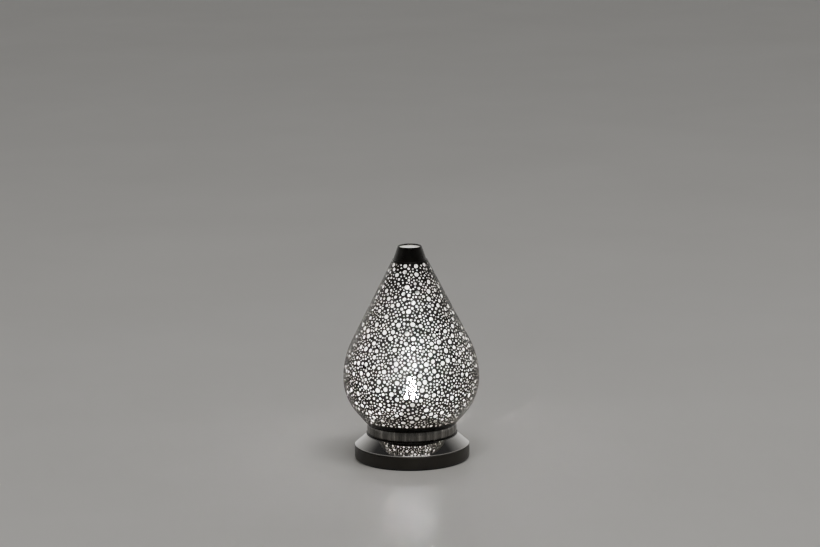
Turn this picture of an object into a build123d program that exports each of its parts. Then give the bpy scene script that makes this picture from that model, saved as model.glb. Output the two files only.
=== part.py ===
"""Table lantern: a teardrop shade of thin metal, with an open neck cap, that lifts off a round plinth.

The plinth hides the ballast, the wiring and a small Edison screw (E14) lampholder with its bulb.
Millimetres, +Z up, the origin at the centre of the underside, the cord's entry at the back, +Y.
"""
from math import cos, radians, sin, tan
import os

from build123d import *

# ---------------------------------------------------------------- driving dimensions
SHEET = 1.2             # spun sheet of the plinth and of the small rings
PAD_T = 1.2             # felt under the plinth
BAND_R = 62.9           # outside of the plinth's upright band
BAND_TOP = 15.0
GROOVE = 1.0            # shadow gap between the band and the flare above it
DECK_Z = 27.4           # top of the plinth, which carries the collar
DECK_R = 49.9           # where the flare meets the deck
DECK_HOLE_R = 22.0      # opening in the deck that the lampholder comes up through
COLLAR_R = 49.3
COLLAR_TOP = 39.0
BEAD_R = 0.9            # wire bead at the collar's foot

SHADE_SHEET = 0.6       # perforated sheet of the shade
BELLY_R = 74.3          # widest radius of the shade, and its height
BELLY_Z = 89.4
UPPER_ARC_R = 93.8      # profile radius above the belly, ending in the cone
CONE_TILT = 26.87       # degrees from upright
LOWER_ARC_R = 55.8      # profile radius below the belly, ending in the foot's cone
FOOT_TILT = 39.9        # degrees from upright
SHADE_BOTTOM = 42.6
SHADE_TOP = 220.0
NECK_FOOT_R = 18.0      # open cap on the shade's neck
NECK_TOP_R = 13.1
NECK_TOP = 236.0
SPIGOT_GAP = 0.3        # all round, between the shade's spigot and the collar

BRIDGE_Z = 14.0         # underside of the strap that holds the lampholder
HOLDER_TOP = 55.0
TIP_Z = 38.0            # lowest point of the bulb, its contact
BULB_R = 6.8            # capsule bulb with an egg-shaped opal dome
BULB_LENGTH = 53.0      # from the contact to the dome's tip
DOME_FOOT = 65.0
THREAD_PITCH = 2.822    # E14 thread
THREAD_DEPTH = 0.5

LEAD_R = 1.0            # insulated single leads inside the plinth
CORD_HOLE_R = 3.3       # for a round mains cord 6.6 mm across
CORD_Z = 8.0
SCREW_R = 1.95          # M4 screws of the plinth
SCREW_HOLE_R = 2.1
SMALL_SCREW_R = 1.2     # terminal screws

# ---------------------------------------------------------------- sizes that follow
plate_top = PAD_T + SHEET
deck_under = DECK_Z - SHEET
ballast_top = plate_top + 6.0
ballast_inner_r, ballast_outer_r = 30.0, 58.0
cord_slot_w = 14.0
post_r, post_circle_r = 3.5, 43.0
post_angles = (45, 135, 270)
post_places = [(post_circle_r * cos(radians(a)), post_circle_r * sin(radians(a))) for a in post_angles]
csk_r, csk_depth = 3.9, 1.95
ballast_hole_r = 2.8    # clears the countersunk heads

bridge_t = 1.5
bridge_top = BRIDGE_Z + bridge_t
bridge_half_w = 9.0
bridge_leg_x = 20.5     # inner face of each leg
bridge_end_x = 40.0
bridge_screw_x = 31.0
tag_t = 0.8

block_front, block_back = 30.0, 44.0
block_bottom = 13.2
way_pitch, way_z = 9.0, 19.0
way_places = (-way_pitch, 0, way_pitch)
clamp_places = [(x, y) for x in way_places for y in (34.0, 40.0)]
block_screw_place = (way_pitch / 2, 37.0)

collar_inner_r = 47.1
spigot_r = collar_inner_r - SPIGOT_GAP

os.makedirs("parts", exist_ok=True)
nodes = []


def keep(part, name):
    """Label a finished sub-part and put it on the list that is exported at the end."""
    part.part.label = name
    nodes.append(part.part)


def profile_r(z, inset=0.0):
    """Radius of the shade's outer profile at height z, or of the parallel profile inset from it."""
    upper_r, lower_r = UPPER_ARC_R - inset, LOWER_ARC_R - inset
    tilt, arc_r = (radians(CONE_TILT), upper_r) if z > BELLY_Z else (radians(FOOT_TILT), lower_r)
    rise = abs(z - BELLY_Z)
    centre_r = BELLY_R - inset - arc_r
    if rise < arc_r * sin(tilt):
        return centre_r + (arc_r ** 2 - rise ** 2) ** 0.5
    return centre_r + arc_r / cos(tilt) - rise * tan(tilt)


def thread_ridges(root_r, bottom, ridges):
    """Draw one side of a row of rounded annular ridges, which stand for a knuckle thread."""
    for i in range(ridges):
        low, high = bottom + i * THREAD_PITCH, bottom + (i + 1) * THREAD_PITCH
        ThreePointArc((root_r, low), (root_r + THREAD_DEPTH, (low + high) / 2), (root_r, high))


def lead(points):
    """Path of a lead through the points, each bend as wide as its two runs allow, and its radii."""
    places = [Vector(*p) for p in points]
    radii = []
    for before, here, after in zip(places, places[1:], places[2:]):
        turn = (here - before).get_angle(after - here)
        shorter = min((here - before).length, (after - here).length)
        radii.append(0.45 * shorter / tan(radians(turn) / 2))
    return points, radii


# ---------------------------------------------------------------- plinth
with BuildPart() as felt_pad:
    with BuildSketch():
        Circle(BAND_R - 1.9)
        with Locations(*post_places):
            Circle(csk_r + 0.5, mode=Mode.SUBTRACT)
    extrude(amount=PAD_T)
keep(felt_pad, "felt_pad")

with BuildPart() as bottom_plate:
    with BuildSketch(Plane.XY.offset(PAD_T)):
        Circle(BAND_R - 0.5)
    extrude(amount=SHEET)
    with Locations(*[(x, y, PAD_T + csk_depth / 2) for x, y in post_places]):
        Cone(csk_r, SCREW_R, csk_depth, mode=Mode.SUBTRACT)
keep(bottom_plate, "bottom_plate")

with BuildPart() as ballast_ring:
    with BuildSketch(Plane.XY.offset(plate_top)):
        Circle(ballast_outer_r)
        Circle(ballast_inner_r, mode=Mode.SUBTRACT)
        with Locations((0, ballast_outer_r)):
            Rectangle(cord_slot_w, 2 * (ballast_outer_r - ballast_inner_r) + 20, mode=Mode.SUBTRACT)
        with Locations(*post_places):
            Circle(ballast_hole_r, mode=Mode.SUBTRACT)
    extrude(amount=ballast_top - plate_top)
keep(ballast_ring, "ballast_ring")

with BuildPart() as plate_screws:
    with Locations(*[(x, y, PAD_T + csk_depth / 2) for x, y in post_places]):
        Cone(csk_r, SCREW_R, csk_depth)
    with BuildSketch(Plane.XY.offset(PAD_T + csk_depth)):
        with Locations(*post_places):
            Circle(SCREW_R)
    extrude(amount=15)
    with BuildSketch(Plane.XY.offset(PAD_T)):
        with Locations(*post_places):
            Rectangle(4.4, 0.9)
            Rectangle(0.9, 4.4)
    extrude(amount=1.2, mode=Mode.SUBTRACT)
keep(plate_screws, "plate_screws")

with BuildPart() as plate_posts:
    with BuildSketch(Plane.XY.offset(ballast_top)):
        with Locations(*post_places):
            RegularPolygon(post_r, 6)
    extrude(amount=deck_under - ballast_top)
    with BuildSketch(Plane.XY.offset(ballast_top)):
        with Locations(*post_places):
            Circle(SCREW_R + 0.02)
    extrude(amount=11, mode=Mode.SUBTRACT)
keep(plate_posts, "plate_posts")

with BuildPart() as plinth_band:
    with BuildSketch(Plane.XZ):
        with BuildLine():
            Polyline((BAND_R, plate_top), (BAND_R, BAND_TOP), (BAND_R - 4, BAND_TOP),
                     (BAND_R - 4, BAND_TOP - SHEET), (BAND_R - SHEET, BAND_TOP - SHEET),
                     (BAND_R - SHEET, plate_top), close=True)
        make_face()
    revolve(axis=Axis.Z)
    fillet(plinth_band.edges().filter_by(GeomType.CIRCLE).group_by(Axis.Z)[-1].sort_by(SortBy.RADIUS)[-1], 0.9)
    with BuildSketch(Plane.XZ.offset(-BAND_R - 1)):
        with Locations((0, CORD_Z)):
            Circle(CORD_HOLE_R + 0.7)
    extrude(amount=5, mode=Mode.SUBTRACT)
keep(plinth_band, "plinth_band")

flare_foot_z = BAND_TOP + GROOVE
with BuildPart() as plinth_top:
    with BuildSketch(Plane.XZ):
        with BuildLine():
            Polyline((BAND_R - 1.7, BAND_TOP), (BAND_R - 1.7, flare_foot_z), (BAND_R - 0.2, flare_foot_z),
                     (BAND_R - 0.2, flare_foot_z + 0.5), (DECK_R, DECK_Z), (DECK_HOLE_R, DECK_Z),
                     (DECK_HOLE_R, deck_under), (DECK_R - 0.5, deck_under),
                     (BAND_R - 3.2, flare_foot_z + 1.5), (BAND_R - 3.2, BAND_TOP), close=True)
        make_face()
    revolve(axis=Axis.Z)
    with Locations(*[(x, 0, DECK_Z) for x in (-bridge_screw_x, bridge_screw_x)]):
        Hole(SCREW_HOLE_R, depth=SHEET)
    with Locations((*block_screw_place, DECK_Z)):
        Hole(SMALL_SCREW_R, depth=SHEET)
keep(plinth_top, "plinth_top")

with BuildPart() as cord_grommet:
    with BuildSketch(Plane.XZ):
        with BuildLine():
            Polyline((CORD_HOLE_R, 60.2), (CORD_HOLE_R + 1.7, 60.2), (CORD_HOLE_R + 1.7, 61.4),
                     (CORD_HOLE_R + 0.7, 61.4), (CORD_HOLE_R + 0.7, BAND_R), (CORD_HOLE_R + 1.7, BAND_R),
                     (CORD_HOLE_R + 1.7, 63.4), (CORD_HOLE_R + 1.0, 64.1), (CORD_HOLE_R, 64.1), close=True)
        make_face()
    revolve(axis=Axis.Z)
grommet_part = cord_grommet.part.rotate(Axis.X, -90).translate((0, 0, CORD_Z))
cord_grommet.part = grommet_part
keep(cord_grommet, "cord_grommet")

# ---------------------------------------------------------------- collar
bead_z = DECK_Z + BEAD_R
with BuildPart() as collar_bead:
    with BuildSketch(Plane.XZ):
        with Locations((COLLAR_R - 0.1, bead_z)):
            Circle(BEAD_R)
    revolve(axis=Axis.Z)
keep(collar_bead, "collar_bead")

collar_foot = DECK_Z + 2 * BEAD_R + 0.1
with BuildPart() as collar_ring:
    with BuildSketch(Plane.XZ):
        with BuildLine():
            foot_edge = Line((COLLAR_R - 2.2, DECK_Z), (COLLAR_R - 1.1, DECK_Z))
            neck = Line(foot_edge @ 1, (COLLAR_R - 1.1, collar_foot))
            lip = Line(neck @ 1, (COLLAR_R - 0.5, collar_foot))
            bulge = ThreePointArc(lip @ 1, (COLLAR_R, 33.5), (COLLAR_R - 0.9, COLLAR_TOP))
            rim = Line(bulge @ 1, (COLLAR_R - 2.2, COLLAR_TOP))
            Line(rim @ 1, foot_edge @ 0)
        make_face()
    revolve(axis=Axis.Z)
keep(collar_ring, "collar_ring")

# ---------------------------------------------------------------- lampholder and its strap
with BuildPart() as holder_bridge:
    with BuildSketch(Plane.XZ.offset(-bridge_half_w)):
        for side in (-1, 1):
            with BuildLine():
                Polyline((0, BRIDGE_Z), (side * (bridge_leg_x + bridge_t), BRIDGE_Z),
                         (side * (bridge_leg_x + bridge_t), deck_under - bridge_t),
                         (side * bridge_end_x, deck_under - bridge_t), (side * bridge_end_x, deck_under),
                         (side * bridge_leg_x, deck_under), (side * bridge_leg_x, bridge_top),
                         (0, bridge_top), close=True)
            make_face()
    extrude(amount=2 * bridge_half_w)
    with Locations((0, 0, bridge_top)):
        Hole(4.95, depth=bridge_t)
    with Locations(*[(x, 0, deck_under) for x in (-bridge_screw_x, bridge_screw_x)]):
        Hole(SCREW_HOLE_R, depth=bridge_t)
keep(holder_bridge, "holder_bridge")

bridge_places = [(x, 0) for x in (-bridge_screw_x, bridge_screw_x)]
with BuildPart() as bridge_screws:
    with BuildSketch(Plane.XY.offset(DECK_Z)):
        with Locations(*bridge_places):
            Circle(3.5)
    extrude(amount=2.2)
    fillet(bridge_screws.edges().group_by(Axis.Z)[-1], 0.9)
    with BuildSketch(Plane.XY.offset(DECK_Z)):
        with Locations(*bridge_places):
            Circle(SCREW_R)
    extrude(amount=-8)
    with BuildSketch(Plane.XY.offset(DECK_Z + 2.2)):
        with Locations(*bridge_places):
            Rectangle(1.0, 8)
    extrude(amount=-1.1, mode=Mode.SUBTRACT)
keep(bridge_screws, "bridge_screws")

nut_h = 3.2
flange_under = deck_under - bridge_t
with BuildPart() as bridge_nuts:
    for x, top in ((-bridge_screw_x, flange_under - tag_t), (bridge_screw_x, flange_under)):
        with BuildSketch(Plane.XY.offset(top)):
            with Locations((x, 0)):
                RegularPolygon(4.04, 6)
                Circle(SCREW_R, mode=Mode.SUBTRACT)
        extrude(amount=-nut_h)
keep(bridge_nuts, "bridge_nuts")

tag_barrel_z = flange_under - tag_t - 0.7
with BuildPart() as earth_tag:
    with BuildSketch(Plane.XY.offset(flange_under - tag_t)):
        with Locations((-bridge_screw_x, 0)):
            Circle(4.2)
            Circle(SCREW_HOLE_R, mode=Mode.SUBTRACT)
        with Locations((-bridge_screw_x, 5.2)):
            Rectangle(2.6, 3.0)
    extrude(amount=tag_t)
    with BuildSketch(Plane.XZ.offset(-4.7)):
        with Locations((-bridge_screw_x, tag_barrel_z)):
            Circle(1.5)
            Circle(LEAD_R + 0.05, mode=Mode.SUBTRACT)
    extrude(amount=-6.3)
keep(earth_tag, "earth_tag")

nipple_r = 4.9
with BuildPart() as threaded_nipple:
    with BuildSketch(Plane.XY.offset(BRIDGE_Z - 4)):
        Circle(nipple_r)
        Circle(3.5, mode=Mode.SUBTRACT)
    extrude(amount=12)
    chamfer(threaded_nipple.edges().filter_by(GeomType.CIRCLE).filter_by(
        lambda e: e.radius > nipple_r - 0.1), 0.5)
keep(threaded_nipple, "threaded_nipple")

with BuildPart() as nipple_washer:
    with BuildSketch(Plane.XY.offset(BRIDGE_Z)):
        Circle(8)
        Circle(nipple_r, mode=Mode.SUBTRACT)
    extrude(amount=-1)
keep(nipple_washer, "nipple_washer")

with BuildPart() as nipple_locknut:
    with BuildSketch(Plane.XY.offset(BRIDGE_Z - 1)):
        RegularPolygon(7.6, 6)
        Circle(nipple_r, mode=Mode.SUBTRACT)
    extrude(amount=-2.6)
keep(nipple_locknut, "nipple_locknut")

cap_r = 13.0
cap_top = 30.0
with BuildPart() as holder_cap:
    with BuildSketch(Plane.XZ):
        with BuildLine():
            Polyline((nipple_r, bridge_top), (10.2, bridge_top), (cap_r, 19.5), (cap_r, cap_top),
                     (cap_r - 1.6, cap_top), (cap_r - 1.6, 22), (nipple_r, 22), close=True)
        make_face()
    revolve(axis=Axis.Z)
keep(holder_cap, "holder_cap")

block_r = cap_r - 1.7
holder_lead_x = 5.5
with BuildPart() as holder_insulator:
    with BuildSketch(Plane.XY.offset(28)):
        Circle(block_r)
    extrude(amount=7)
    with BuildSketch(Plane.XY.offset(28)):
        with Locations((-holder_lead_x, 0), (holder_lead_x, 0)):
            Circle(LEAD_R + 0.2)
    extrude(amount=4, mode=Mode.SUBTRACT)
    with BuildSketch(Plane.YZ):
        with Locations((0, 30.4)):
            Circle(SMALL_SCREW_R)
    extrude(amount=cap_r, both=True, mode=Mode.SUBTRACT)
keep(holder_insulator, "holder_insulator")

with BuildPart() as holder_terminal_screws:
    for side in (-1, 1):
        with BuildSketch(Plane.YZ.offset(side * 6.6)):
            with Locations((0, 30.4)):
                Circle(SMALL_SCREW_R)
        extrude(amount=side * 4.2)
        with Locations((side * 10.8, 0, 30.4)):
            Box(1.4, 3, 0.5, mode=Mode.SUBTRACT)
keep(holder_terminal_screws, "holder_terminal_screws")

with BuildPart() as holder_skirt:
    with BuildSketch(Plane.XZ):
        with BuildLine():
            Polyline((cap_r - 1.6, cap_top), (13.6, cap_top), (13.6, 36), (11.6, 39), (11.6, HOLDER_TOP),
                     (8.4, HOLDER_TOP), (8.4, 35.1), (cap_r - 1.6, 35.1), close=True)
        make_face()
    revolve(axis=Axis.Z)
    fillet(holder_skirt.edges().group_by(Axis.Z)[-1], 0.8)
keep(holder_skirt, "holder_skirt")

shell_ridges = 6
shell_foot, shell_r, shell_t = 35.0, 7.2, 0.4
ridge_foot = shell_foot + 1.0
shell_end = ridge_foot + shell_ridges * THREAD_PITCH
with BuildPart() as screw_shell:
    with BuildSketch(Plane.XZ):
        with BuildLine():
            thread_ridges(shell_r, ridge_foot, shell_ridges)
            thread_ridges(shell_r + shell_t, ridge_foot, shell_ridges)
            Polyline((shell_r, ridge_foot), (shell_r, shell_foot), (shell_r + shell_t, shell_foot),
                     (shell_r + shell_t, ridge_foot))
            Line((shell_r, shell_end), (shell_r + shell_t, shell_end))
        make_face()
    revolve(axis=Axis.Z)
keep(screw_shell, "screw_shell")

with BuildPart() as centre_contact:
    with BuildSketch(Plane.XZ.offset(-2)):
        with BuildLine():
            Polyline((-5, 35.0), (4, 35.0), (4, 35.4), (-2.5, 35.4), (0, 36.9), (2.2, 37.3), (2.2, 37.7),
                     (-0.4, 37.7), (-4.2, 35.4), (-5, 35.4), close=True)
        make_face()
    extrude(amount=4)
keep(centre_contact, "centre_contact")

# ---------------------------------------------------------------- terminal block and wiring
with BuildPart() as terminal_block:
    with BuildSketch(Plane.XY.offset(block_bottom)):
        with Locations((0, (block_front + block_back) / 2)):
            RectangleRounded(3 * way_pitch, block_back - block_front, 1.5)
    extrude(amount=deck_under - block_bottom)
    with BuildSketch(Plane.XZ.offset(-block_back)):
        with Locations(*[(x, way_z) for x in way_places]):
            Circle(2.4)
    extrude(amount=block_back - block_front, mode=Mode.SUBTRACT)
    with BuildSketch(Plane.XY.offset(block_bottom)):
        with Locations(*clamp_places):
            Circle(1.7)
    extrude(amount=4, mode=Mode.SUBTRACT)
    with BuildSketch(Plane.XY.offset(block_bottom)):
        with Locations(block_screw_place):
            Circle(2.4)
    extrude(amount=2.2, mode=Mode.SUBTRACT)
    with BuildSketch(Plane.XY.offset(block_bottom)):
        with Locations(block_screw_place):
            Circle(SMALL_SCREW_R + 0.1)
    extrude(amount=deck_under - block_bottom, mode=Mode.SUBTRACT)
keep(terminal_block, "terminal_block")

with BuildPart() as terminal_inserts:
    with BuildSketch(Plane.XZ.offset(-block_back + 1.5)):
        with Locations(*[(x, way_z) for x in way_places]):
            Circle(2.3)
            Circle(LEAD_R + 0.3, mode=Mode.SUBTRACT)
    extrude(amount=block_back - block_front - 3)
    with BuildSketch(Plane.XY.offset(block_bottom)):
        with Locations(*clamp_places):
            Circle(SMALL_SCREW_R)
    extrude(amount=way_z - block_bottom, mode=Mode.SUBTRACT)
keep(terminal_inserts, "terminal_inserts")

with BuildPart() as terminal_screws:
    with BuildSketch(Plane.XY.offset(block_bottom + 0.4)):
        with Locations(*clamp_places):
            Circle(SMALL_SCREW_R)
    extrude(amount=way_z - LEAD_R - 0.1 - block_bottom - 0.4)
    with BuildSketch(Plane.XY.offset(block_bottom + 0.4)):
        with Locations(*clamp_places):
            Rectangle(3, 0.5)
    extrude(amount=0.7, mode=Mode.SUBTRACT)
keep(terminal_screws, "terminal_screws")

with BuildPart() as terminal_block_screw:
    with BuildSketch(Plane.XY.offset(block_bottom + 2.2)):
        with Locations(block_screw_place):
            Circle(2.3)
    extrude(amount=-1.8)
    with BuildSketch(Plane.XY.offset(block_bottom + 2.2)):
        with Locations(block_screw_place):
            Circle(SMALL_SCREW_R)
    extrude(amount=DECK_Z - block_bottom - 2.2)
    with BuildSketch(Plane.XY.offset(block_bottom + 0.4)):
        with Locations(block_screw_place):
            Rectangle(6, 0.6)
    extrude(amount=0.8, mode=Mode.SUBTRACT)
keep(terminal_block_screw, "terminal_block_screw")

live_route, live_radii = lead([
    (-way_pitch, 35, way_z), (-way_pitch, 20, way_z), (-5, 10, 4.9), (-1.3, 0, 4.7),
    (-1.3, 0, 22.6), (-holder_lead_x, 0, 26.2), (-holder_lead_x, 0, 31.6)])
with BuildPart() as live_lead:
    with BuildLine():
        live_path = FilletPolyline(*live_route, radius=live_radii)
    with BuildSketch(Plane(live_path @ 0, z_dir=live_path % 0)):
        Circle(LEAD_R)
    sweep()
keep(live_lead, "live_lead")

neutral_route, neutral_radii = lead([
    (way_pitch, 35, way_z), (way_pitch, 21, way_z), (5, 10.5, 4.9), (1.3, 0, 4.7),
    (1.3, 0, 22.6), (holder_lead_x, 0, 26.2), (holder_lead_x, 0, 31.6)])
with BuildPart() as neutral_lead:
    with BuildLine():
        neutral_path = FilletPolyline(*neutral_route, radius=neutral_radii)
    with BuildSketch(Plane(neutral_path @ 0, z_dir=neutral_path % 0)):
        Circle(LEAD_R)
    sweep()
keep(neutral_lead, "neutral_lead")

earth_route, earth_radii = lead([
    (0, 35, way_z), (0, 24.5, 19.8), (-12, 17.5, 23.0), (-bridge_screw_x, 17, tag_barrel_z),
    (-bridge_screw_x, 7, tag_barrel_z)])
with BuildPart() as earth_lead:
    with BuildLine():
        earth_path = FilletPolyline(*earth_route, radius=earth_radii)
    with BuildSketch(Plane(earth_path @ 0, z_dir=earth_path % 0)):
        Circle(LEAD_R)
    sweep()
keep(earth_lead, "earth_lead")

# ---------------------------------------------------------------- shade
flange_top = 46.0
with BuildPart() as shade_rim:
    with BuildSketch(Plane.XZ):
        with BuildLine():
            Polyline((spigot_r, 33), (spigot_r, COLLAR_TOP), (48.2, COLLAR_TOP), (48.2, 39.7), (50.4, 41.2),
                     (51.3, 41.6), (51.5, 42.1), (51.2, SHADE_BOTTOM),
                     (profile_r(SHADE_BOTTOM, SHADE_SHEET), SHADE_BOTTOM),
                     (profile_r(flange_top, SHADE_SHEET), flange_top),
                     (profile_r(flange_top, SHADE_SHEET) - 1.5, flange_top),
                     (spigot_r - SHEET, 40.0), (spigot_r - SHEET, 33), close=True)
        make_face()
    revolve(axis=Axis.Z)
keep(shade_rim, "shade_rim")

foot_tangent_z = BELLY_Z - LOWER_ARC_R * sin(radians(FOOT_TILT))
cone_tangent_z = BELLY_Z + UPPER_ARC_R * sin(radians(CONE_TILT))
shade_bands = (         # name, lower height, upper height, whether its outline is an arc
    ("shade_foot", SHADE_BOTTOM, foot_tangent_z, False), ("shade_belly", foot_tangent_z, BELLY_Z, True),
    ("shade_shoulder", BELLY_Z, cone_tangent_z, True), ("shade_cone", cone_tangent_z, SHADE_TOP, False))
for band_name, low_z, high_z, curved in shade_bands:
    with BuildPart() as shade_band:
        with BuildSketch(Plane.XZ):
            with BuildLine():
                for inset in (0, SHADE_SHEET):
                    heights = (low_z, (low_z + high_z) / 2, high_z)
                    low, middle, high = [(profile_r(z, inset), z) for z in heights]
                    if curved:
                        ThreePointArc(low, middle, high)
                    else:
                        Line(low, high)
                for z in (low_z, high_z):
                    Line((profile_r(z), z), (profile_r(z, SHADE_SHEET), z))
            make_face()
        revolve(axis=Axis.Z)
    keep(shade_band, band_name)

neck_flange_top = SHADE_TOP + SHEET
neck_spigot_z = SHADE_TOP - 1.8
with BuildPart() as neck_ring:
    with BuildSketch(Plane.XZ):
        with BuildLine():
            Polyline((17.8, neck_spigot_z), (17.8, SHADE_TOP), (19.2, SHADE_TOP), (19.2, neck_flange_top),
                     (16.6, neck_flange_top), (16.6, neck_spigot_z), close=True)
        make_face()
    revolve(axis=Axis.Z)
    fillet(neck_ring.edges().filter_by(GeomType.CIRCLE).group_by(Axis.Z)[-1].sort_by(SortBy.RADIUS)[-1], 0.5)
keep(neck_ring, "neck_ring")

with BuildPart() as neck_cap:
    with BuildSketch(Plane.XZ):
        with BuildLine():
            Polyline((NECK_FOOT_R, neck_flange_top), (NECK_TOP_R, NECK_TOP - 0.3),
                     (NECK_TOP_R - 0.3, NECK_TOP), (NECK_TOP_R - SHEET, NECK_TOP),
                     (NECK_FOOT_R - SHEET - 0.1, neck_flange_top), close=True)
        make_face()
    revolve(axis=Axis.Z)
keep(neck_cap, "neck_cap")

# ---------------------------------------------------------------- bulb
bulb_cap_bottom = TIP_Z + 2.4
cap_ridges = 5
cap_root_r = 6.4
cap_ridge_foot = bulb_cap_bottom + 1.2
cap_ridge_end = cap_ridge_foot + cap_ridges * THREAD_PITCH
with BuildPart() as contact_tip:
    with BuildSketch(Plane.XZ):
        with BuildLine():
            dome = ThreePointArc((0, TIP_Z), (1.5, TIP_Z + 0.35), (2.4, TIP_Z + 1.2))
            Polyline(dome @ 1, (0, TIP_Z + 1.2), dome @ 0)
        make_face()
    revolve(axis=Axis.Z)
keep(contact_tip, "contact_tip")

with BuildPart() as bulb_insulator:
    with BuildSketch(Plane.XZ):
        with BuildLine():
            Polyline((0, TIP_Z + 1.3), (2.4, TIP_Z + 1.3), (5.6, bulb_cap_bottom + 0.6),
                     (5.6, bulb_cap_bottom + 2.2), (0, bulb_cap_bottom + 2.2), close=True)
        make_face()
    revolve(axis=Axis.Z)
keep(bulb_insulator, "bulb_insulator")

cap_top_z = HOLDER_TOP + 3.4
with BuildPart() as bulb_cap:
    with BuildSketch(Plane.XZ):
        with BuildLine():
            thread_ridges(cap_root_r, cap_ridge_foot, cap_ridges)
            Polyline((cap_root_r, cap_ridge_end), (cap_root_r, HOLDER_TOP + 0.9),
                     (7.6, HOLDER_TOP + 1.6), (7.6, cap_top_z),
                     (7.2, cap_top_z), (7.2, HOLDER_TOP + 2.0), (5.9, HOLDER_TOP + 1.2),
                     (5.7, bulb_cap_bottom), (6.1, bulb_cap_bottom), (cap_root_r, cap_ridge_foot))
        make_face()
    revolve(axis=Axis.Z)
keep(bulb_cap, "bulb_cap")

body_foot = HOLDER_TOP + 2.1
with BuildPart() as bulb_body:
    with BuildSketch(Plane.XZ):
        with BuildLine():
            Polyline((5.2, body_foot), (7.1, body_foot), (7.1, cap_top_z), (8.0, cap_top_z + 0.6),
                     (8.0, DOME_FOOT - 1), (BULB_R - 0.1, DOME_FOOT), (BULB_R - 1.0, DOME_FOOT),
                     (BULB_R - 1.0, DOME_FOOT + 1.5), (5.2, DOME_FOOT + 1.5), close=True)
        make_face()
    revolve(axis=Axis.Z)
keep(bulb_body, "bulb_body")

dome_t = 0.9
dome_z = DOME_FOOT + 5.0        # the dome is straight up to here, then egg-shaped
dome_tip = TIP_Z + BULB_LENGTH
with BuildPart() as bulb_dome:
    with BuildSketch(Plane.XZ):
        with BuildLine():
            for inset in (0, dome_t):
                r, h = BULB_R - inset, dome_tip - inset - dome_z
                Line((r, DOME_FOOT), (r, dome_z))
                Spline((r, dome_z), (0.82 * r, dome_z + 0.48 * h), (0.48 * r, dome_z + 0.84 * h),
                       (0, dome_z + h), tangents=((0, 1), (-1, 0)))
            Line((BULB_R, DOME_FOOT), (BULB_R - dome_t, DOME_FOOT))
            Line((0, dome_tip), (0, dome_tip - dome_t))
        make_face()
    revolve(axis=Axis.Z)
keep(bulb_dome, "bulb_dome")

core_half_w = 3.0
core_top = DOME_FOOT + 13.0
with BuildPart() as led_core:
    with BuildSketch(Plane.XY.offset(DOME_FOOT - 4)):
        Rectangle(2 * core_half_w, 2 * core_half_w)
    extrude(amount=core_top - DOME_FOOT + 4)
keep(led_core, "led_core")

chip_size, chip_t = 2.8, 0.6
chip_rows = [DOME_FOOT + 3.4 + 3.6 * row for row in range(3)]
with BuildPart() as led_chips:
    for plane in (Plane.XZ.offset(core_half_w), Plane.XZ.offset(-core_half_w),
                  Plane.YZ.offset(core_half_w), Plane.YZ.offset(-core_half_w)):
        outward = 1 if plane.origin.dot(plane.z_dir) > 0 else -1
        with BuildSketch(plane):
            with Locations(*[(0, z) for z in chip_rows]):
                Rectangle(chip_size, chip_size)
        extrude(amount=outward * chip_t)
keep(led_chips, "led_chips")

with BuildPart() as driver_board:
    with BuildSketch(Plane.XY.offset(bulb_cap_bottom + 3)):
        Rectangle(9.6, 1.2)
    extrude(amount=DOME_FOOT - 4.2 - bulb_cap_bottom - 3)
keep(driver_board, "driver_board")

# ---------------------------------------------------------------- files
for node in nodes:
    export_step(node, f"parts/{node.label}.step")
print("nodes", len(nodes))
for name, radii in (("live", live_radii), ("neutral", neutral_radii), ("earth", earth_radii)):
    print(name, "lead radii", [round(r, 1) for r in radii])
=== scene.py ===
import math

import bmesh
import bpy
import numpy as np
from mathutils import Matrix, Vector
from mathutils.geometry import delaunay_2d_cdt


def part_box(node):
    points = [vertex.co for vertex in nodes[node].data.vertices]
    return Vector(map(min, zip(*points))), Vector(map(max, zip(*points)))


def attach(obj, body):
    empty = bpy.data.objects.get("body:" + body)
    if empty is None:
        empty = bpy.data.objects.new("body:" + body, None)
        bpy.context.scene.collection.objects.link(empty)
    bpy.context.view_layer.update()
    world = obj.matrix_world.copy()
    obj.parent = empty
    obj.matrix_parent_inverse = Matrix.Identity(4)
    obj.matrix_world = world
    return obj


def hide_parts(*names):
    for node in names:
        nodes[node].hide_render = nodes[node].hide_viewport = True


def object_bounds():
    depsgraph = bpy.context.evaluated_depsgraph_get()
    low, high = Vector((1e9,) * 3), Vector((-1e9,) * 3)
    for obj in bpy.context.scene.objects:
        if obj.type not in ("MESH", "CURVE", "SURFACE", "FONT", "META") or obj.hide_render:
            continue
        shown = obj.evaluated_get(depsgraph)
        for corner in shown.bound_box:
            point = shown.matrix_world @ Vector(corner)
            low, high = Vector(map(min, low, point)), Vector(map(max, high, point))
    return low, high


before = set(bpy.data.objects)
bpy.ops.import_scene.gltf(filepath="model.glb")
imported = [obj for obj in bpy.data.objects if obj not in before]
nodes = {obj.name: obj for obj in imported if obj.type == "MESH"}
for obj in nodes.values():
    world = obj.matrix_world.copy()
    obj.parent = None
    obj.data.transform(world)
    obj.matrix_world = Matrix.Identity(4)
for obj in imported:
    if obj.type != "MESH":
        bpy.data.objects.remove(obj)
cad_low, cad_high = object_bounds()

# A pierced metal table lantern: a teardrop shade with some four thousand real holes, lit by a small opal
# bulb. Metres, in the CAD model's frame. Turned parts take their outlines from the frame's own nodes and are
# turned again more finely. Other places are read from the nodes' boxes.

MM = 0.001
SAME = 1e-6                     # lengths closer than this are equal
SHARP = math.radians(32)        # an edge that turns more than this is drawn sharp
lantern_height = cad_high[2] - cad_low[2]


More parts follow.
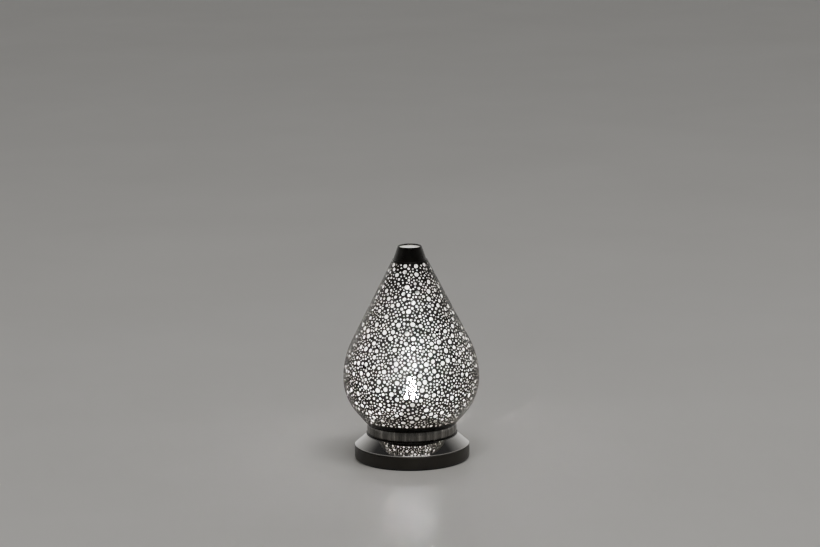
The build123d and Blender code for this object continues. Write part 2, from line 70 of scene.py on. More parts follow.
# ---------------------------------------------------------------- outlines read from the frame
def seam_links(node, without=None):
    """Neighbours on the seam at +X of a turned CAD node, as {(radius, height): set of the same}."""
    mesh = nodes[node].data
    keys = [tuple(round(c, 6) for c in v.co) for v in mesh.vertices]
    seam = [abs(k[1]) < 2 * SAME and k[0] > -SAME for k in keys]
    links = {}
    for poly in mesh.polygons:
        for a, b in poly.edge_keys:
            if not (seam[a] and seam[b]):
                continue
            p, q = (max(keys[a][0], 0.0), keys[a][2]), (max(keys[b][0], 0.0), keys[b][2])
            if p == q or (without and (without[0] < p[0] < without[1] or without[0] < q[0] < without[1])):
                continue
            links.setdefault(p, set()).add(q)
            links.setdefault(q, set()).add(p)
    return links


def outline(node, without=None):
    """The closed outline of a turned CAD node, as an ordered list of (radius, height)."""
    links = seam_links(node, without)
    ends = sorted((p for p, near in links.items() if len(near) == 1), key=lambda p: (round(p[1], 5), p[0]))
    for p, q in zip(ends[::2], ends[1::2]):     # a flat ring has no seam edge, so its two rims are joined
        links[p].add(q)
        links[q].add(p)
    start = max(links)
    loop, before, here = [start], None, start
    while True:
        step = [p for p in links[here] if p != before and p not in loop[1:]]
        step = [p for p in step if p != start] or step
        if not step or step[0] == start:
            return loop
        before, here = here, step[0]
        loop.append(here)


def turn_at(a, b, c):
    """Turn of the path a, b, c at b, in radians."""
    u, v = np.subtract(b, a), np.subtract(c, b)
    return abs(math.atan2(u[0] * v[1] - u[1] * v[0], u @ v))


LEAST_TURN = math.radians(28)   # a corner of the outline that turns less is left alone
ROUNDING_STEPS = 3
LARGEST_CUT = 0.4               # share of a neighbouring edge that a rounding may take
SUPPORT = 0.22                  # how far past the rounding its support point is, as a share of the rounding


def eased(loop, radius):
    """The loop with every sharp corner off the axis rounded to about that radius. A point just past each
    end of the rounding keeps the faces beside it flat."""
    out = []
    for i, here in enumerate(loop):
        before, after = loop[i - 1], loop[(i + 1) % len(loop)]
        if here[0] < SAME or turn_at(before, here, after) < LEAST_TURN:
            out.append(here)
            continue
        to_before, to_after = np.subtract(before, here), np.subtract(after, here)
        cut = min(radius, LARGEST_CUT * np.linalg.norm(to_before), LARGEST_CUT * np.linalg.norm(to_after))
        p = here + to_before / np.linalg.norm(to_before) * cut
        q = here + to_after / np.linalg.norm(to_after) * cut
        out.append(tuple(p + (p - here) * SUPPORT))
        for k in range(ROUNDING_STEPS + 1):
            t = k / ROUNDING_STEPS
            out.append(tuple((1 - t) ** 2 * p + 2 * t * (1 - t) * np.array(here) + t * t * q))
        out.append(tuple(q + (q - here) * SUPPORT))
    return out


# ---------------------------------------------------------------- mesh helpers
def new_object(name, mesh, materials):
    """An object for the mesh, with those materials."""
    obj = bpy.data.objects.new(name, mesh)
    bpy.context.collection.objects.link(obj)
    for material in materials:
        mesh.materials.append(material)
    return obj


def add_piece(obj, body, slot, *stands_for):
    """The object rides on a body and stands for those CAD nodes, which are hidden. slot is not used."""
    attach(obj, body)
    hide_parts(*stands_for)
    return obj


def paint(obj, material, where):
    """Gives the faces that where(radius, height, outward, upward) picks a second finish."""
    obj.data.materials.append(material)
    for poly in obj.data.polygons:
        x, y, z = poly.center
        r = math.hypot(x, y)
        if where(r, z, (poly.normal.x * x + poly.normal.y * y) / r, poly.normal.z):
            poly.material_index = len(obj.data.materials) - 1


def lathe(name, loop, material, segments, shape=None):
    """A closed outline turned about Z. shape(angle, radius, height) may move a point in or out."""
    bm = bmesh.new()
    rings = []
    for r, z in loop:
        if r < SAME:
            rings.append([bm.verts.new((0, 0, z))])
            continue
        ring = []
        for k in range(segments):
            angle = 2 * math.pi * k / segments
            here = shape(angle, r, z) if shape else r
            ring.append(bm.verts.new((here * math.cos(angle), here * math.sin(angle), z)))
        rings.append(ring)
    for i, low in enumerate(rings):
        high = rings[(i + 1) % len(rings)]
        if len(low) == 1 and len(high) == 1:
            continue
        for k in range(segments):
            n = (k + 1) % segments
            corners = [low[k % len(low)], low[n % len(low)], high[n % len(high)], high[k % len(high)]]
            bm.faces.new(list(dict.fromkeys(corners)))
    bmesh.ops.recalc_face_normals(bm, faces=bm.faces)
    mesh = bpy.data.meshes.new(name)
    bm.to_mesh(mesh)
    bm.free()
    mesh.shade_smooth()
    mesh.set_sharp_from_angle(angle=SHARP)
    return new_object(name, mesh, [material])


def turned_node(node, body, material, slot, ease, segments=256, shape=None, without=None):
    """A CAD node turned again, finely, with its sharp corners eased."""
    loop = eased(outline(node, without), ease)
    obj = lathe(node + "_turned", loop, material, segments, shape)
    return add_piece(obj, body, slot, node)


def drill(obj, *bores):
    """Cuts round holes through a turned piece, each given as its middle, direction, radius and length."""
    for middle, direction, radius, length in bores:
        bm = bmesh.new()
        bmesh.ops.create_cone(bm, cap_ends=True, segments=48, radius1=radius, radius2=radius, depth=length)
        turn = Vector(direction).to_track_quat("Z", "Y").to_matrix().to_4x4()
        bmesh.ops.transform(bm, matrix=turn, verts=bm.verts)
        bmesh.ops.translate(bm, vec=middle, verts=bm.verts)
        cutter_mesh = bpy.data.meshes.new("bore")
        bm.to_mesh(cutter_mesh)
        bm.free()
        cutter = new_object("bore", cutter_mesh, [])
        cut = obj.modifiers.new("bore", "BOOLEAN")
        cut.operation, cut.solver, cut.object = "DIFFERENCE", "EXACT", cutter
        drilled = obj.evaluated_get(bpy.context.evaluated_depsgraph_get())
        cut_mesh = bpy.data.meshes.new_from_object(drilled)
        obj.modifiers.remove(cut)
        obj.data = cut_mesh
        bpy.data.objects.remove(cutter)
    obj.data.shade_smooth()
    obj.data.set_sharp_from_angle(angle=SHARP)


def middle_of(node):
    """The middle of a CAD node's box."""
    low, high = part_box(node)
    return [(a + b) / 2 for a, b in zip(low, high)]


# ---------------------------------------------------------------- materials
class Finish:
    """A node material built round one Principled shader, with object coordinates to hand."""

    def __init__(self, name, **sockets):
        self.material = bpy.data.materials.new(name)
        self.material.use_nodes = True
        self.tree = self.material.node_tree
        self.shader = self.tree.nodes["Principled BSDF"]
        self.place = self.node("ShaderNodeTexCoord").outputs["Object"]
        for socket, value in sockets.items():
            self.shader.inputs[socket.replace("_", " ")].default_value = value

    def node(self, kind, inputs=None, **attributes):
        made = self.tree.nodes.new(kind)
        for name, value in attributes.items():
            setattr(made, name, value)
        for name, value in (inputs or {}).items():
            self.put(made.inputs[name], value)
        return made

    def put(self, socket, value):
        """Links an output to the socket, or sets the socket's own value."""
        if isinstance(value, bpy.types.NodeSocket):
            self.tree.links.new(value, socket)
        else:
            socket.default_value = value

    def math(self, operation, *values):
        made = self.node("ShaderNodeMath", operation=operation)
        for socket, value in zip(made.inputs, values):
            self.put(socket, value)
        return made.outputs[0]

    def stretched(self, x, y, z):
        """Object coordinates with each axis scaled."""
        return self.node("ShaderNodeMapping", {"Vector": self.place, "Scale": (x, y, z)}).outputs[0]

    def round_the_axis(self, turns, along):
        """Coordinates that go round the lantern's axis, for streaks that run up and down: the collar's
        painted reflections and its uneven roughness.
        """
        split = self.node("ShaderNodeSeparateXYZ", {"Vector": self.place}).outputs
        length = self.math("SQRT", self.math("ADD", self.math("MULTIPLY", split[0], split[0]),
                                             self.math("MULTIPLY", split[1], split[1])))
        cosine = self.math("DIVIDE", split[0], length)
        sine = self.math("DIVIDE", split[1], length)
        return self.node("ShaderNodeCombineXYZ", {
            "X": self.math("MULTIPLY", cosine, turns), "Y": self.math("MULTIPLY", sine, turns),
            "Z": self.math("MULTIPLY", split[2], along)}).outputs[0]

    def noise(self, scale, detail=4.0, roughness=0.55, where=None):
        made = self.node("ShaderNodeTexNoise", {
            "Vector": where or self.place, "Scale": scale, "Detail": detail, "Roughness": roughness})
        return made.outputs["Fac"]

    def ranged(self, value, low, high):
        """A noise, most of which lies between 0.3 and 0.7, spread from low to high."""
        return self.node("ShaderNodeMapRange", {
            "Value": value, "From Min": 0.3, "From Max": 0.7, "To Min": low, "To Max": high}).outputs[0]

    def colours(self, value, *stops):
        """The value through a ramp of (position, colour) stops, into the base colour."""
        ramp = self.node("ShaderNodeValToRGB", {"Fac": value})
        elements = ramp.color_ramp.elements
        for i, (position, colour) in enumerate(stops):
            element = elements[i] if i < 2 else elements.new(position)
            element.position, element.color = position, (*colour, 1)
        self.put(self.shader.inputs["Base Color"], ramp.outputs["Color"])
        return self

    def rough(self, value, low, high):
        self.put(self.shader.inputs["Roughness"], self.ranged(value, low, high))
        return self

    def bump(self, height, distance, strength=1.0):
        """Adds a bump on top of any that is there already."""
        normal = self.shader.inputs["Normal"]
        made = self.node("ShaderNodeBump", {"Height": height, "Distance": distance, "Strength": strength})
        if normal.is_linked:
            self.put(made.inputs["Normal"], normal.links[0].from_socket)
        self.put(normal, made.outputs[0])
        return self


def grey(value, warmth=0.04):
    """A nearly neutral colour of that brightness, a little warm."""
    return (value * (1 + warmth), value, value * (1 - 1.5 * warmth))


def shade_outer_metal():
    """Dark patinated metal, spun, so its fine marks run round the axis."""
    f = Finish("shade_dark_metal", Metallic=1.0)
    patches = f.noise(38.0, detail=6.0)
    spun = f.noise(1.0, detail=3.0, where=f.stretched(30, 30, 2600))
    f.colours(patches, (0.30, grey(0.014)), (0.55, grey(0.026)), (0.80, grey(0.044)))
    f.rough(f.noise(90.0), 0.26, 0.42)
    return f.bump(spun, 0.00002, 0.6).bump(f.noise(420.0), 0.00004, 0.5).material


def shade_inner_metal():
    """The pale tinned inside of the shade, bright enough to pass the bulb's light on."""
    f = Finish("shade_tinned_inside", Metallic=0.12, IOR=1.6)
    f.colours(f.noise(60.0), (0.3, grey(0.80, 0.01)), (0.7, grey(0.87, 0.01)))
    f.rough(f.noise(140.0), 0.22, 0.36)
    return f.bump(f.noise(300.0), 0.00005, 0.5).material


def cut_edge_metal():
    """Bare metal on the walls of the punched holes."""
    f = Finish("shade_cut_edges", Metallic=0.9)
    f.colours(f.noise(800.0), (0.3, grey(0.16)), (0.7, grey(0.34)))
    return f.rough(f.noise(500.0), 0.3, 0.5).material


def cap_metal():
    """Near-black satin metal of the neck cap and the plain rim."""
    f = Finish("cap_black_metal", Metallic=1.0)
    f.colours(f.noise(70.0, detail=6.0), (0.3, grey(0.018)), (0.6, grey(0.03)), (0.85, grey(0.05)))
    f.rough(f.noise(160.0), 0.24, 0.36)
    return f.bump(f.noise(1.0, where=f.stretched(25, 25, 3200)), 0.00002, 0.6).material


def collar_metal():
    """Polished metal with uneven upright streaks: painted reflections of the room in its colour, over a
    slight relief and uneven roughness.
    """
    f = Finish("collar_polished", Metallic=1.0)
    relief_and_painted_reflections = f.noise(1.0, detail=5.0, roughness=0.7, where=f.round_the_axis(9.0, 6.0))
    # the colour ramp paints reflections of the room as upright light and dark streaks; the same noise also
    # gives a slight real relief
    f.colours(relief_and_painted_reflections, (0.32, grey(0.07)), (0.50, grey(0.15)), (0.68, grey(0.34)))
    f.rough(f.noise(1.0, detail=3.0, where=f.round_the_axis(24.0, 20.0)), 0.16, 0.32)
    return f.bump(relief_and_painted_reflections, 0.0004, 0.35).material


def gloss_metal():
    """Black nickel of the flare, a dark mirror."""
    f = Finish("plinth_black_gloss", Metallic=1.0)
    f.colours(f.noise(45.0), (0.3, grey(0.50, 0.02)), (0.7, grey(0.60, 0.02)))
    f.rough(f.noise(110.0, detail=8.0), 0.04, 0.10)
    return f.bump(f.noise(35.0), 0.00006, 0.4).material


def satin_metal():
    """Dark satin lacquer of the upright band, with faint turning marks."""
    f = Finish("plinth_dark_satin", Metallic=0.4, IOR=1.5)
    f.colours(f.noise(50.0, detail=7.0), (0.3, grey(0.020, 0.12)), (0.7, grey(0.034, 0.12)))
    f.rough(f.noise(180.0), 0.34, 0.46)
    return f.bump(f.noise(1.0, where=f.stretched(20, 20, 4200)), 0.00003, 0.5).material


def felt():
    """Black felt, fuzzy and quite dull."""
    f = Finish("felt_black", Roughness=1.0, Sheen_Weight=0.4)
    f.colours(f.noise(900.0), (0.3, grey(0.008)), (0.7, grey(0.03)))
    return f.bump(f.noise(1500.0, detail=8.0), 0.0003, 1.0).material


def plain_metal(name, low, high, rough, warmth=0.02, scale=120.0, grain=0.00003):
    """Bare grey metal, its brightness from low to high."""
    f = Finish(name, Metallic=1.0)
    f.colours(f.noise(scale, detail=6.0), (0.3, grey(low, warmth)), (0.7, grey(high, warmth)))
    f.rough(f.noise(scale * 2), *rough)
    return f.bump(f.noise(scale * 4), grain, 0.6).material


def brass():
    """Plain brass, a little tarnished in patches."""
    f = Finish("brass", Metallic=1.0)
    f.colours(f.noise(180.0, detail=6.0), (0.3, (0.52, 0.36, 0.13)), (0.7, (0.74, 0.55, 0.24)))
    f.rough(f.noise(300.0), 0.2, 0.38)
    return f.bump(f.noise(700.0), 0.00002, 0.5).material


def moulding(name, dark, pale, rough, scale=150.0):
    """Moulded plastic, rubber or ceramic, a little uneven."""
    f = Finish(name, IOR=1.5)
    f.colours(f.noise(scale), (0.3, dark), (0.7, pale))
    f.rough(f.noise(scale * 1.7), *rough)
    return f.bump(f.noise(scale * 5), 0.00004, 0.6).material


def glowing(name, colour, strength, edge):
    """Opal or phosphor lit from inside, unevenly: strength at its brightest, edge at its dimmest."""
    f = Finish(name, Roughness=0.4)
    f.shader.inputs["Base Color"].default_value = (*colour, 1)
    f.shader.inputs["Emission Color"].default_value = (*colour, 1)
    f.put(f.shader.inputs["Emission Strength"], f.ranged(f.noise(90.0, detail=2.0), edge, strength))
    return f.material


# ---------------------------------------------------------------- the pierced shade
TOP_MARGIN, FOOT_MARGIN = 0.7 * MM, 4.2 * MM        # plain metal left at the neck and at the foot
HOLE_SIZES = (              # radius from, radius to, wanted, least web beside it, segments
    (1.80 * MM, 2.42 * MM, 400, 2.0 * MM, 16),
    (1.04 * MM, 1.48 * MM, 880, 1.50 * MM, 12),
    (0.72 * MM, 0.91 * MM, 2500, 1.46 * MM, 9),
    (0.58 * MM, 0.70 * MM, 300, 1.40 * MM, 8))
HEAD_ROW, FOOT_ROW = (10, 2.4 * MM, 16), (38, 1.80 * MM, 12)    # evenly spaced holes, radius, segments
ROW_JITTER, ROW_SMALLEST = 0.16, 0.82   # unevenness of an end row, and its least share of the full radius
GRID_STEP, GRID_COLUMNS = 0.3 * MM, 1500        # of the map that shows where metal is left
RIM_SEGMENTS, NECK_SEGMENTS = 240, 110
OVAL, THREE_SIDED = 0.045, 0.025        # how far out of round a hole is, as a share of its radius
ANY_PHASE = 0, 6.3                      # radians
PROFILE_STEPS = 6000                    # of the shade's outline, from neck to foot
SEED = 17


class ShadeSurface:
    """The shade's outer surface of revolution: two cones joined by two arcs that meet at the belly."""

    def __init__(self, cone_node, belly_node, foot_node):
        neck, cone_foot = self.outer_ends(cone_node)
        belly_r, belly_z = self.outer_ends(belly_node)[0]
        foot_head, foot = self.outer_ends(foot_node)
        self.sheet = belly_r - min(p[0] for p in outline(belly_node) if abs(p[1] - belly_z) < SAME)
        cone = (cone_foot[0] - neck[0]) / (neck[1] - cone_foot[1])
        flare = (foot_head[0] - foot[0]) / (foot_head[1] - foot[1])
        self.heights = np.linspace(neck[1], foot[1], PROFILE_STEPS + 1)
        self.radii = np.where(self.heights > belly_z,
                              self.arc_and_line(self.heights - belly_z, belly_r, neck, cone, belly_z),
                              self.arc_and_line(belly_z - self.heights, belly_r, foot, flare, belly_z))
        step = np.hypot(np.diff(self.heights), np.diff(self.radii))
        middle = (self.radii[1:] + self.radii[:-1]) / 2
        self.run = np.concatenate([[0], np.cumsum(step)])               # along the metal, from the neck
        self.fall = np.concatenate([[0], np.cumsum(step / middle)])     # the same, each step over its radius
        slope = np.gradient(self.radii, self.heights)
        self.normal_r = 1 / np.sqrt(1 + slope ** 2)
        self.normal_z = -slope * self.normal_r

    @staticmethod
    def outer_ends(node):
        """Upper and lower outer corners of a turned CAD node, as (radius, height)."""
        loop = outline(node)
        top, foot = max(p[1] for p in loop), min(p[1] for p in loop)
        upper = max(p for p in loop if p[1] > top - SAME)
        return upper, max(p for p in loop if p[1] < foot + SAME)

    @staticmethod
    def arc_and_line(rise, belly_r, end, slope, belly_z):
        """Radius at a distance above or below the belly, for an arc that runs out into a straight cone."""
        tilt = math.atan(slope)
        span = abs(end[1] - belly_z)
        arc_r = (end[0] - belly_r + span * slope) / (1 / math.cos(tilt) - 1)
        on_arc = np.sqrt(np.clip(arc_r ** 2 - rise ** 2, 0, None))
        on_cone = arc_r / math.cos(tilt) - rise * slope
        return belly_r - arc_r + np.where(rise < arc_r * math.sin(tilt), on_arc, on_cone)

    def at(self, fall, table):
        """A table's value at each fall."""
        return np.interp(fall, self.fall, table)

    def points(self, angle, fall, inset=0.0):
        """Places on the surface, or inset below it, and the outward normals there."""
        r, z = self.at(fall, self.radii), self.at(fall, self.heights)
        nr, nz = self.at(fall, self.normal_r), self.at(fall, self.normal_z)
        cos, sin = np.cos(angle), np.sin(angle)
        normal = np.stack([nr * cos, nr * sin, nz], axis=1)
        return np.stack([r * cos, r * sin, z], axis=1) - inset * normal, normal


class SolidMap:
    """How far each spot of the surface is from the nearest hole's rim, on a grid of run by angle."""

    def __init__(self, surface):
        self.runs = np.arange(0, surface.run[-1], GRID_STEP)
        self.falls = np.interp(self.runs, surface.run, surface.fall)
        self.radii = np.interp(self.runs, surface.run, surface.radii)
        self.from_ends = np.minimum(self.runs - TOP_MARGIN, surface.run[-1] - FOOT_MARGIN - self.runs)
        self.from_holes = np.full((len(self.runs), GRID_COLUMNS), np.inf)
        self.column = 2 * math.pi / GRID_COLUMNS
        self.reach = HOLE_SIZES[0][1] + HOLE_SIZES[0][3]    # the most room that a hole asks for

    def spots(self, room, rng):
        """Every spot with that much room, in random order, no denser at the neck than at the belly."""
        fair = rng.random(self.from_holes.shape) < self.radii[:, None] / self.radii.max()
        found = np.flatnonzero((self.from_holes >= room) & fair)
        rng.shuffle(found)
        return [divmod(int(spot), GRID_COLUMNS) for spot in found]

    def room(self, row, column, web):
        """The largest radius that a hole may have at a spot."""
        return min(self.from_holes[row, column] - web, self.from_ends[row])

    def cut(self, row, column, size):
        """Marks a new hole."""
        reach = size + self.reach
        rows_away = int(reach / GRID_STEP)
        rows = np.arange(max(0, row - rows_away), min(len(self.runs), row + rows_away + 1))
        columns_away = int(1.3 * reach / (self.radii[row] * self.column)) + 1   # more, as the cone narrows
        columns_away = min(GRID_COLUMNS // 2 - 1, columns_away)
        steps = np.arange(-columns_away, columns_away + 1)
        middle = (self.radii[rows] + self.radii[row]) / 2
        apart = np.hypot(steps * self.column, (self.falls[rows] - self.falls[row])[:, None])
        gap = apart * middle[:, None] - size
        block = np.ix_(rows, (column + steps) % GRID_COLUMNS)
        self.from_holes[block] = np.minimum(self.from_holes[block], gap)


def place_holes(surface, rng):
    """Hole centres as angle and fall, with radius and segments: a row at each end, then the large ones,
    then each smaller class wherever enough metal is left."""
    metal = SolidMap(surface)
    found = []

    def punch(row, column, size, sides):
        metal.cut(row, column, size)
        found.append((column * metal.column, metal.falls[row], size, sides))

    foot_edge = metal.runs[-1] - FOOT_MARGIN
    for (holes, largest, sides), edge, inwards in ((HEAD_ROW, TOP_MARGIN, 1), (FOOT_ROW, foot_edge, -1)):
        for k in range(holes):
            column = int(GRID_COLUMNS * (k + rng.uniform(-ROW_JITTER, ROW_JITTER)) / holes)
            size = largest * rng.uniform(ROW_SMALLEST, 1.0)
            row = round((edge + inwards * size) / GRID_STEP)
            punch(row, column % GRID_COLUMNS, size, sides)
    for least_r, most_r, wanted, web, sides in HOLE_SIZES:
        full = len(found) + wanted
        for row, column in metal.spots(least_r + web, rng):
            room = metal.room(row, column, web)
            if room < least_r:
                continue
            punch(row, column, min(rng.uniform(least_r, most_r), room), sides)
            if len(found) == full:
                break
    angle, fall, radius, segments = np.array(found).T
    return angle, fall, radius, segments.astype(int)


def hole_rims(surface, holes, rng):
    """Rim points of every hole, slightly out of round as punched by hand: angle, fall, hole number."""
    angles, falls, owners = [], [], []
    for number, (a, f, size, sides) in enumerate(zip(*holes)):
        t = 2 * math.pi * (np.arange(sides) + rng.uniform()) / sides
        oval = OVAL * np.sin(2 * t + rng.uniform(*ANY_PHASE))
        three_sided = THREE_SIDED * np.sin(3 * t + rng.uniform(*ANY_PHASE))
        reach = size / surface.at(f, surface.radii) * (1 + oval + three_sided)
        angles.append(a + reach * np.cos(t))
        falls.append(f + reach * np.sin(t))
        owners.append(np.full(sides, number))
    return np.concatenate(angles), np.concatenate(falls), np.concatenate(owners)


def rings_of_edges(owners):
    """Edges that close each run of equal owners into a ring."""
    start = np.flatnonzero(np.diff(owners, prepend=owners[0] - 1))
    end = np.append(start[1:], len(owners))
    follow = np.arange(1, len(owners) + 1)
    follow[end - 1] = start
    return np.stack([np.arange(len(owners)), follow], axis=1)


def metal_between(angle, fall, owner, hole_count):
    """Triangles of the metal between the rims, as rows of three point numbers. The surface is flattened to a
    ring, where round holes stay round, with the neck at its inner edge."""
    flat = np.exp(fall)[:, None] * np.stack([np.cos(angle), np.sin(angle)], axis=1)
    made = delaunay_2d_cdt([Vector(p) for p in flat], rings_of_edges(owner).tolist(), [], 0, 1e-7)
    original = np.array([ids[0] for ids in made[3]])
    tris = original[np.array([f for f in made[2] if len(f) == 3])]
    in_one_ring = (owner[tris] == owner[tris[:, :1]]).all(axis=1)
    open_ring = owner[tris[:, 0]] <= hole_count         # a hole, or the neck's own edge
    return tris[~(in_one_ring & open_ring)]


def turned_outwards(tris, points, normal):
    """The same triangles, each with its corners in the order that faces it outwards."""
    facing = np.cross(points[tris[:, 1]] - points[tris[:, 0]], points[tris[:, 2]] - points[tris[:, 0]])
    flip = (facing * normal[tris[:, 0]]).sum(axis=1) < 0
    tris[flip] = tris[flip][:, ::-1]
    return tris


def walls_at_open_edges(tris, count):
    """Four-sided faces from each open edge to the inner face, whose points come after the outer ones."""
    edges = np.concatenate([tris[:, [0, 1]], tris[:, [1, 2]], tris[:, [2, 0]]])
    forth, back = edges[:, 0] * count + edges[:, 1], edges[:, 1] * count + edges[:, 0]
    a, b = edges[~np.isin(forth, back)].T
    return np.stack([b, a, a + count, b + count], axis=1)


def into_openings(surface, holes, owner, points, normal):
    """Directions along the surface at the rims: to the middle of the hole, or off the end of the shade."""
    in_hole = owner < len(holes[0])
    hole_middle, _ = surface.points(holes[0], holes[1])
    target = points + np.where(points[:, 2:] > surface.heights.mean(), 1.0, -1.0) * [0, 0, 1.0]
    target[in_hole] = hole_middle[owner[in_hole]]
    into = target - points
    into -= (into * normal).sum(axis=1)[:, None] * normal
    return into / np.linalg.norm(into, axis=1)[:, None]


def pierced_shade(surface, materials):
    """The shade as one closed sheet with real holes through it."""
    rng = np.random.default_rng(SEED)
    holes = place_holes(surface, rng)
    angle, fall, owner = hole_rims(surface, holes, rng)
    for sides, at_fall in ((NECK_SEGMENTS, 0.0), (RIM_SEGMENTS, surface.fall[-1])):
        angle = np.append(angle, 2 * math.pi * np.arange(sides) / sides)
        fall = np.append(fall, np.full(sides, at_fall))
        owner = np.append(owner, np.full(sides, owner[-1] + 1))
    count = len(angle)
    outer, normal = surface.points(angle, fall)
    inner, _ = surface.points(angle, fall, surface.sheet)
    tris = turned_outwards(metal_between(angle, fall, owner, len(holes[0])), outer, normal)
    walls = walls_at_open_edges(tris, count)
    mesh = bpy.data.meshes.new("shade_pierced")
    mesh.from_pydata(np.concatenate([outer, inner]).tolist(), [],
                     tris.tolist() + (tris[:, ::-1] + count).tolist() + walls.tolist())
    faces = [len(tris), len(tris), len(walls)]          # outer, inner and cut, in the materials' order
    mesh.polygons.foreach_set("material_index", np.repeat([0, 1, 2], faces))
    # normals of the true surface on both faces, and into the opening on the walls
    into = into_openings(surface, holes, owner, outer, normal)
    corner_normals = np.concatenate([normal[tris].reshape(-1, 3), -normal[tris[:, ::-1]].reshape(-1, 3),
                                     into[walls % count].reshape(-1, 3)])
    mesh.shade_smooth()
    mesh.normals_split_custom_set(corner_normals.tolist())
    print("shade: holes", len(holes[0]), "faces as triangles", 2 * len(tris) + 2 * len(walls))
    return new_object("shade_pierced", mesh, materials)


# ---------------------------------------------------------------- build: shade
CAP_LIP = 1.5 * MM          # dark edge left round the neck cap's mouth

tinned = shade_inner_metal()
black_metal = cap_metal()
shade_finishes = [shade_outer_metal(), tinned, cut_edge_metal()]
pierced = pierced_shade(ShadeSurface("shade_cone", "shade_belly", "shade_foot"), shade_finishes)
add_piece(pierced, "shade", "shade_metal", "shade_cone", "shade_shoulder", "shade_belly", "shade_foot")
for node, ease in (("shade_rim", 0.3 * MM), ("neck_ring", 0.2 * MM), ("neck_cap", 0.25 * MM)):
    ring = turned_node(node, "shade", black_metal, "cap_metal", ease)
    paint(ring, tinned, lambda r, z, outward, upward: outward < -0.2 and z < lantern_height - CAP_LIP)

# ---------------------------------------------------------------- build: plinth and collar
UP, BACK = (0, 0, 1), (0, 1, 0)
BORE_LENGTH = 6 * MM            # more than any wall that is drilled
SCREW_BORE, BLOCK_BORE, CORD_BORE = 2.1 * MM, 1.2 * MM, 4.0 * MM        # radii
SEAM_GAP = 3 * MM               # the bore at +X is on the seam that outlines are read from

deck_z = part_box("plinth_top")[1][2]
screws_low, screws_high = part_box("bridge_screws")       # two screws, one each side on X
screw_x = screws_high[0] - (screws_high[1] - screws_low[1]) / 2
block_x, block_y, _ = middle_of("terminal_block_screw")
collar_inside = min(r for r, _ in outline("collar_ring"))


def hand_polished(angle, r, z):
    """Slight flats and swells round the collar, left by polishing it by hand."""
    ripple = math.sin(23 * angle) + 0.7 * math.sin(41 * angle + 1.3) + 0.5 * math.sin(9 * angle + 0.4)
    return r + 0.035 * MM * ripple


turned_node("collar_ring", "base", collar_metal(), "collar_metal", 0.35 * MM, 384, hand_polished)
turned_node("collar_bead", "base", black_metal, "collar_metal", 0.1 * MM)
deck = turned_node("plinth_top", "base", gloss_metal(), "gloss_metal", 0.2 * MM,
                   without=(screw_x - SEAM_GAP, screw_x + SEAM_GAP))
drill(deck, *[((x, 0, deck_z), UP, SCREW_BORE, BORE_LENGTH) for x in (-screw_x, screw_x)],
      ((block_x, block_y, deck_z), UP, BLOCK_BORE, BORE_LENGTH))
paint(deck, tinned, lambda r, z, outward, upward: upward > 0.9 and r < collar_inside)
band = turned_node("plinth_band", "base", satin_metal(), "satin_metal", 0.3 * MM)
drill(band, (middle_of("cord_grommet"), BACK, CORD_BORE, BORE_LENGTH))

# ---------------------------------------------------------------- build: bulb
opal = glowing("bulb_opal", (1.0, 0.98, 0.94), 380.0, 330.0)
turned_node("bulb_dome", "bulb", opal, "opal_dome", 0.1 * MM, segments=96)
white_ceramic = moulding("ceramic_white", grey(0.70), grey(0.82), (0.35, 0.5))
turned_node("bulb_body", "bulb", white_ceramic, "white_ceramic", 0.3 * MM, segments=128)

# ---------------------------------------------------------------- finishes of the CAD nodes that stay
zinc = plain_metal("zinc_steel", 0.42, 0.58, (0.28, 0.42), warmth=-0.02)
brass_metal = brass()
holder_white = moulding("holder_white", grey(0.68), grey(0.78), (0.25, 0.4))
kept_finishes = {
    "felt_pad": felt(),
    "bottom_plate": moulding("steel_black_lacquer", grey(0.012), grey(0.02), (0.3, 0.45)),
    "plate_screws": zinc, "plate_posts": zinc, "holder_bridge": zinc,
    "bridge_screws": zinc, "bridge_nuts": zinc, "earth_tag": zinc, "nipple_washer": zinc,
    "terminal_screws": zinc, "terminal_block_screw": zinc,
    "ballast_ring": plain_metal("cast_iron", 0.05, 0.12, (0.55, 0.75), scale=260.0, grain=0.0002),
    "cord_grommet": moulding("rubber_black", grey(0.010), grey(0.022), (0.6, 0.8)),
    "threaded_nipple": brass_metal, "nipple_locknut": brass_metal, "holder_terminal_screws": brass_metal,
    "screw_shell": brass_metal, "centre_contact": brass_metal, "terminal_inserts": brass_metal,
    "bulb_cap": plain_metal("nickel", 0.5, 0.64, (0.2, 0.34), warmth=0.03),
    "holder_cap": holder_white, "holder_skirt": holder_white,
    "holder_insulator": moulding("porcelain", grey(0.68), grey(0.80), (0.1, 0.2)),
    "terminal_block": moulding("nylon_natural", grey(0.60), grey(0.74), (0.45, 0.6)),
    "live_lead": moulding("insulation_brown", (0.10, 0.035, 0.012), (0.16, 0.06, 0.02), (0.4, 0.5)),
    "neutral_lead": moulding("insulation_blue", (0.015, 0.07, 0.28), (0.03, 0.12, 0.4), (0.4, 0.5)),
    "earth_lead": moulding("insulation_green", (0.10, 0.26, 0.02), (0.5, 0.48, 0.03), (0.4, 0.5), 220.0),
    "contact_tip": plain_metal("solder", 0.35, 0.5, (0.4, 0.6), scale=500.0),
    "bulb_insulator": moulding("glass_black", grey(0.006), grey(0.016), (0.05, 0.15)),
    "led_core": white_ceramic,
    "led_chips": glowing("phosphor", (1.0, 0.86, 0.45), 60.0, 50.0),
    "driver_board": moulding("circuit_board", (0.01, 0.05, 0.02), (0.02, 0.09, 0.035), (0.3, 0.45)),
}
for node, finish in kept_finishes.items():
    for material_slot in nodes[node].material_slots:
        material_slot.material = finish


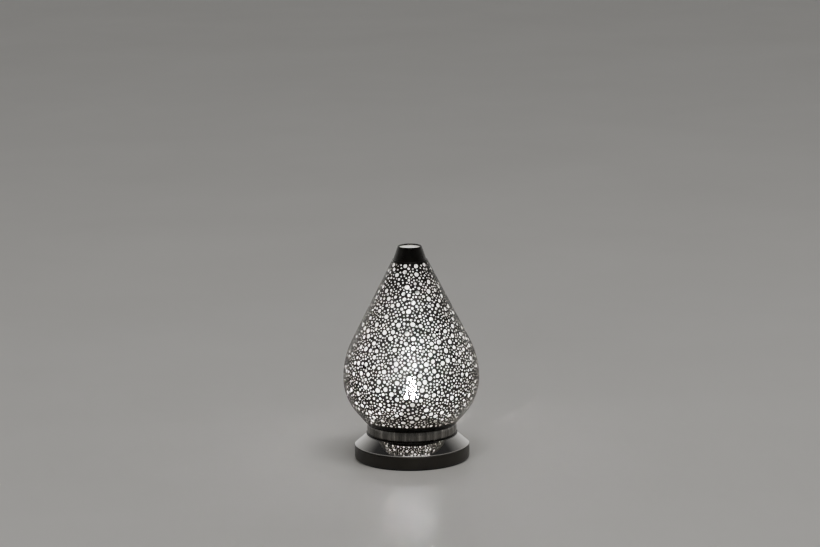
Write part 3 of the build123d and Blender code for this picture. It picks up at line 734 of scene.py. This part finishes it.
# ---------------------------------------------------------------- studio
def add_floor():
    """A plain pale floor, out past the edge of the view."""
    bpy.ops.mesh.primitive_plane_add(size=30, location=(0, 6, 0))
    floor = bpy.context.object
    floor.name = "floor"
    f = Finish("floor_pale", Roughness=0.5)
    f.colours(f.noise(3.0), (0.3, (0.66, 0.645, 0.62)), (0.7, (0.70, 0.685, 0.66)))
    floor.data.materials.append(f.material)


def add_soft_box():
    """One wide soft box overhead, a little to the front and the right."""
    data = bpy.data.lights.new("soft_box", "AREA")
    data.shape, data.size, data.size_y = "RECTANGLE", 2.4, 1.2
    data.energy, data.color = 55, (1.0, 0.99, 0.97)
    light = bpy.data.objects.new("soft_box", data)
    bpy.context.collection.objects.link(light)
    light.location = (0.4, -1.3, 3.5)
    aim = Vector((0, 0, 0.1)) - light.location
    light.rotation_euler = aim.to_track_quat("-Z", "Y").to_euler()


def add_world():
    """A studio room: pale round the horizon, darker overhead and on the camera's side."""
    world = bpy.data.worlds.new("studio")
    bpy.context.scene.world = world
    world.use_nodes = True
    tree = world.node_tree
    background = tree.nodes["Background"]
    place = tree.nodes.new("ShaderNodeTexCoord")
    split = tree.nodes.new("ShaderNodeSeparateXYZ")
    ramp = tree.nodes.new("ShaderNodeValToRGB")
    sides = tree.nodes.new("ShaderNodeMapRange")
    tree.links.new(place.outputs["Generated"], split.inputs[0])
    tree.links.new(split.outputs["Z"], ramp.inputs[0])
    tree.links.new(ramp.outputs[0], background.inputs["Color"])
    horizon, overhead = ramp.color_ramp.elements
    horizon.position, horizon.color = 0.05, (1.0, 0.99, 0.96, 1)
    overhead.position, overhead.color = 0.75, (0.06, 0.06, 0.06, 1)
    tree.links.new(split.outputs["Y"], sides.inputs["Value"])
    for socket, value in (("From Min", -0.6), ("From Max", 0.9), ("To Min", 0.30), ("To Max", 1.0)):
        sides.inputs[socket].default_value = value
    tree.links.new(sides.outputs[0], background.inputs["Strength"])


def add_camera():
    """The photograph's view, from far off and a little above, with the picture turned slightly."""
    distance, elevation = 3.6, math.radians(14.8)
    tilt_down, roll = math.radians(11.6), math.radians(-0.7)
    data = bpy.data.cameras.new("camera")
    data.sensor_width, data.lens = 36.0, 143.7
    camera = bpy.data.objects.new("camera", data)
    bpy.context.collection.objects.link(camera)
    camera.location = (0, -distance * math.cos(elevation), distance * math.sin(elevation))
    camera.rotation_euler = (math.radians(90) - tilt_down, 0, 0)
    camera.rotation_euler.rotate_axis("Z", roll)
    bpy.context.scene.camera = camera


add_floor()
add_world()
add_soft_box()
add_camera()
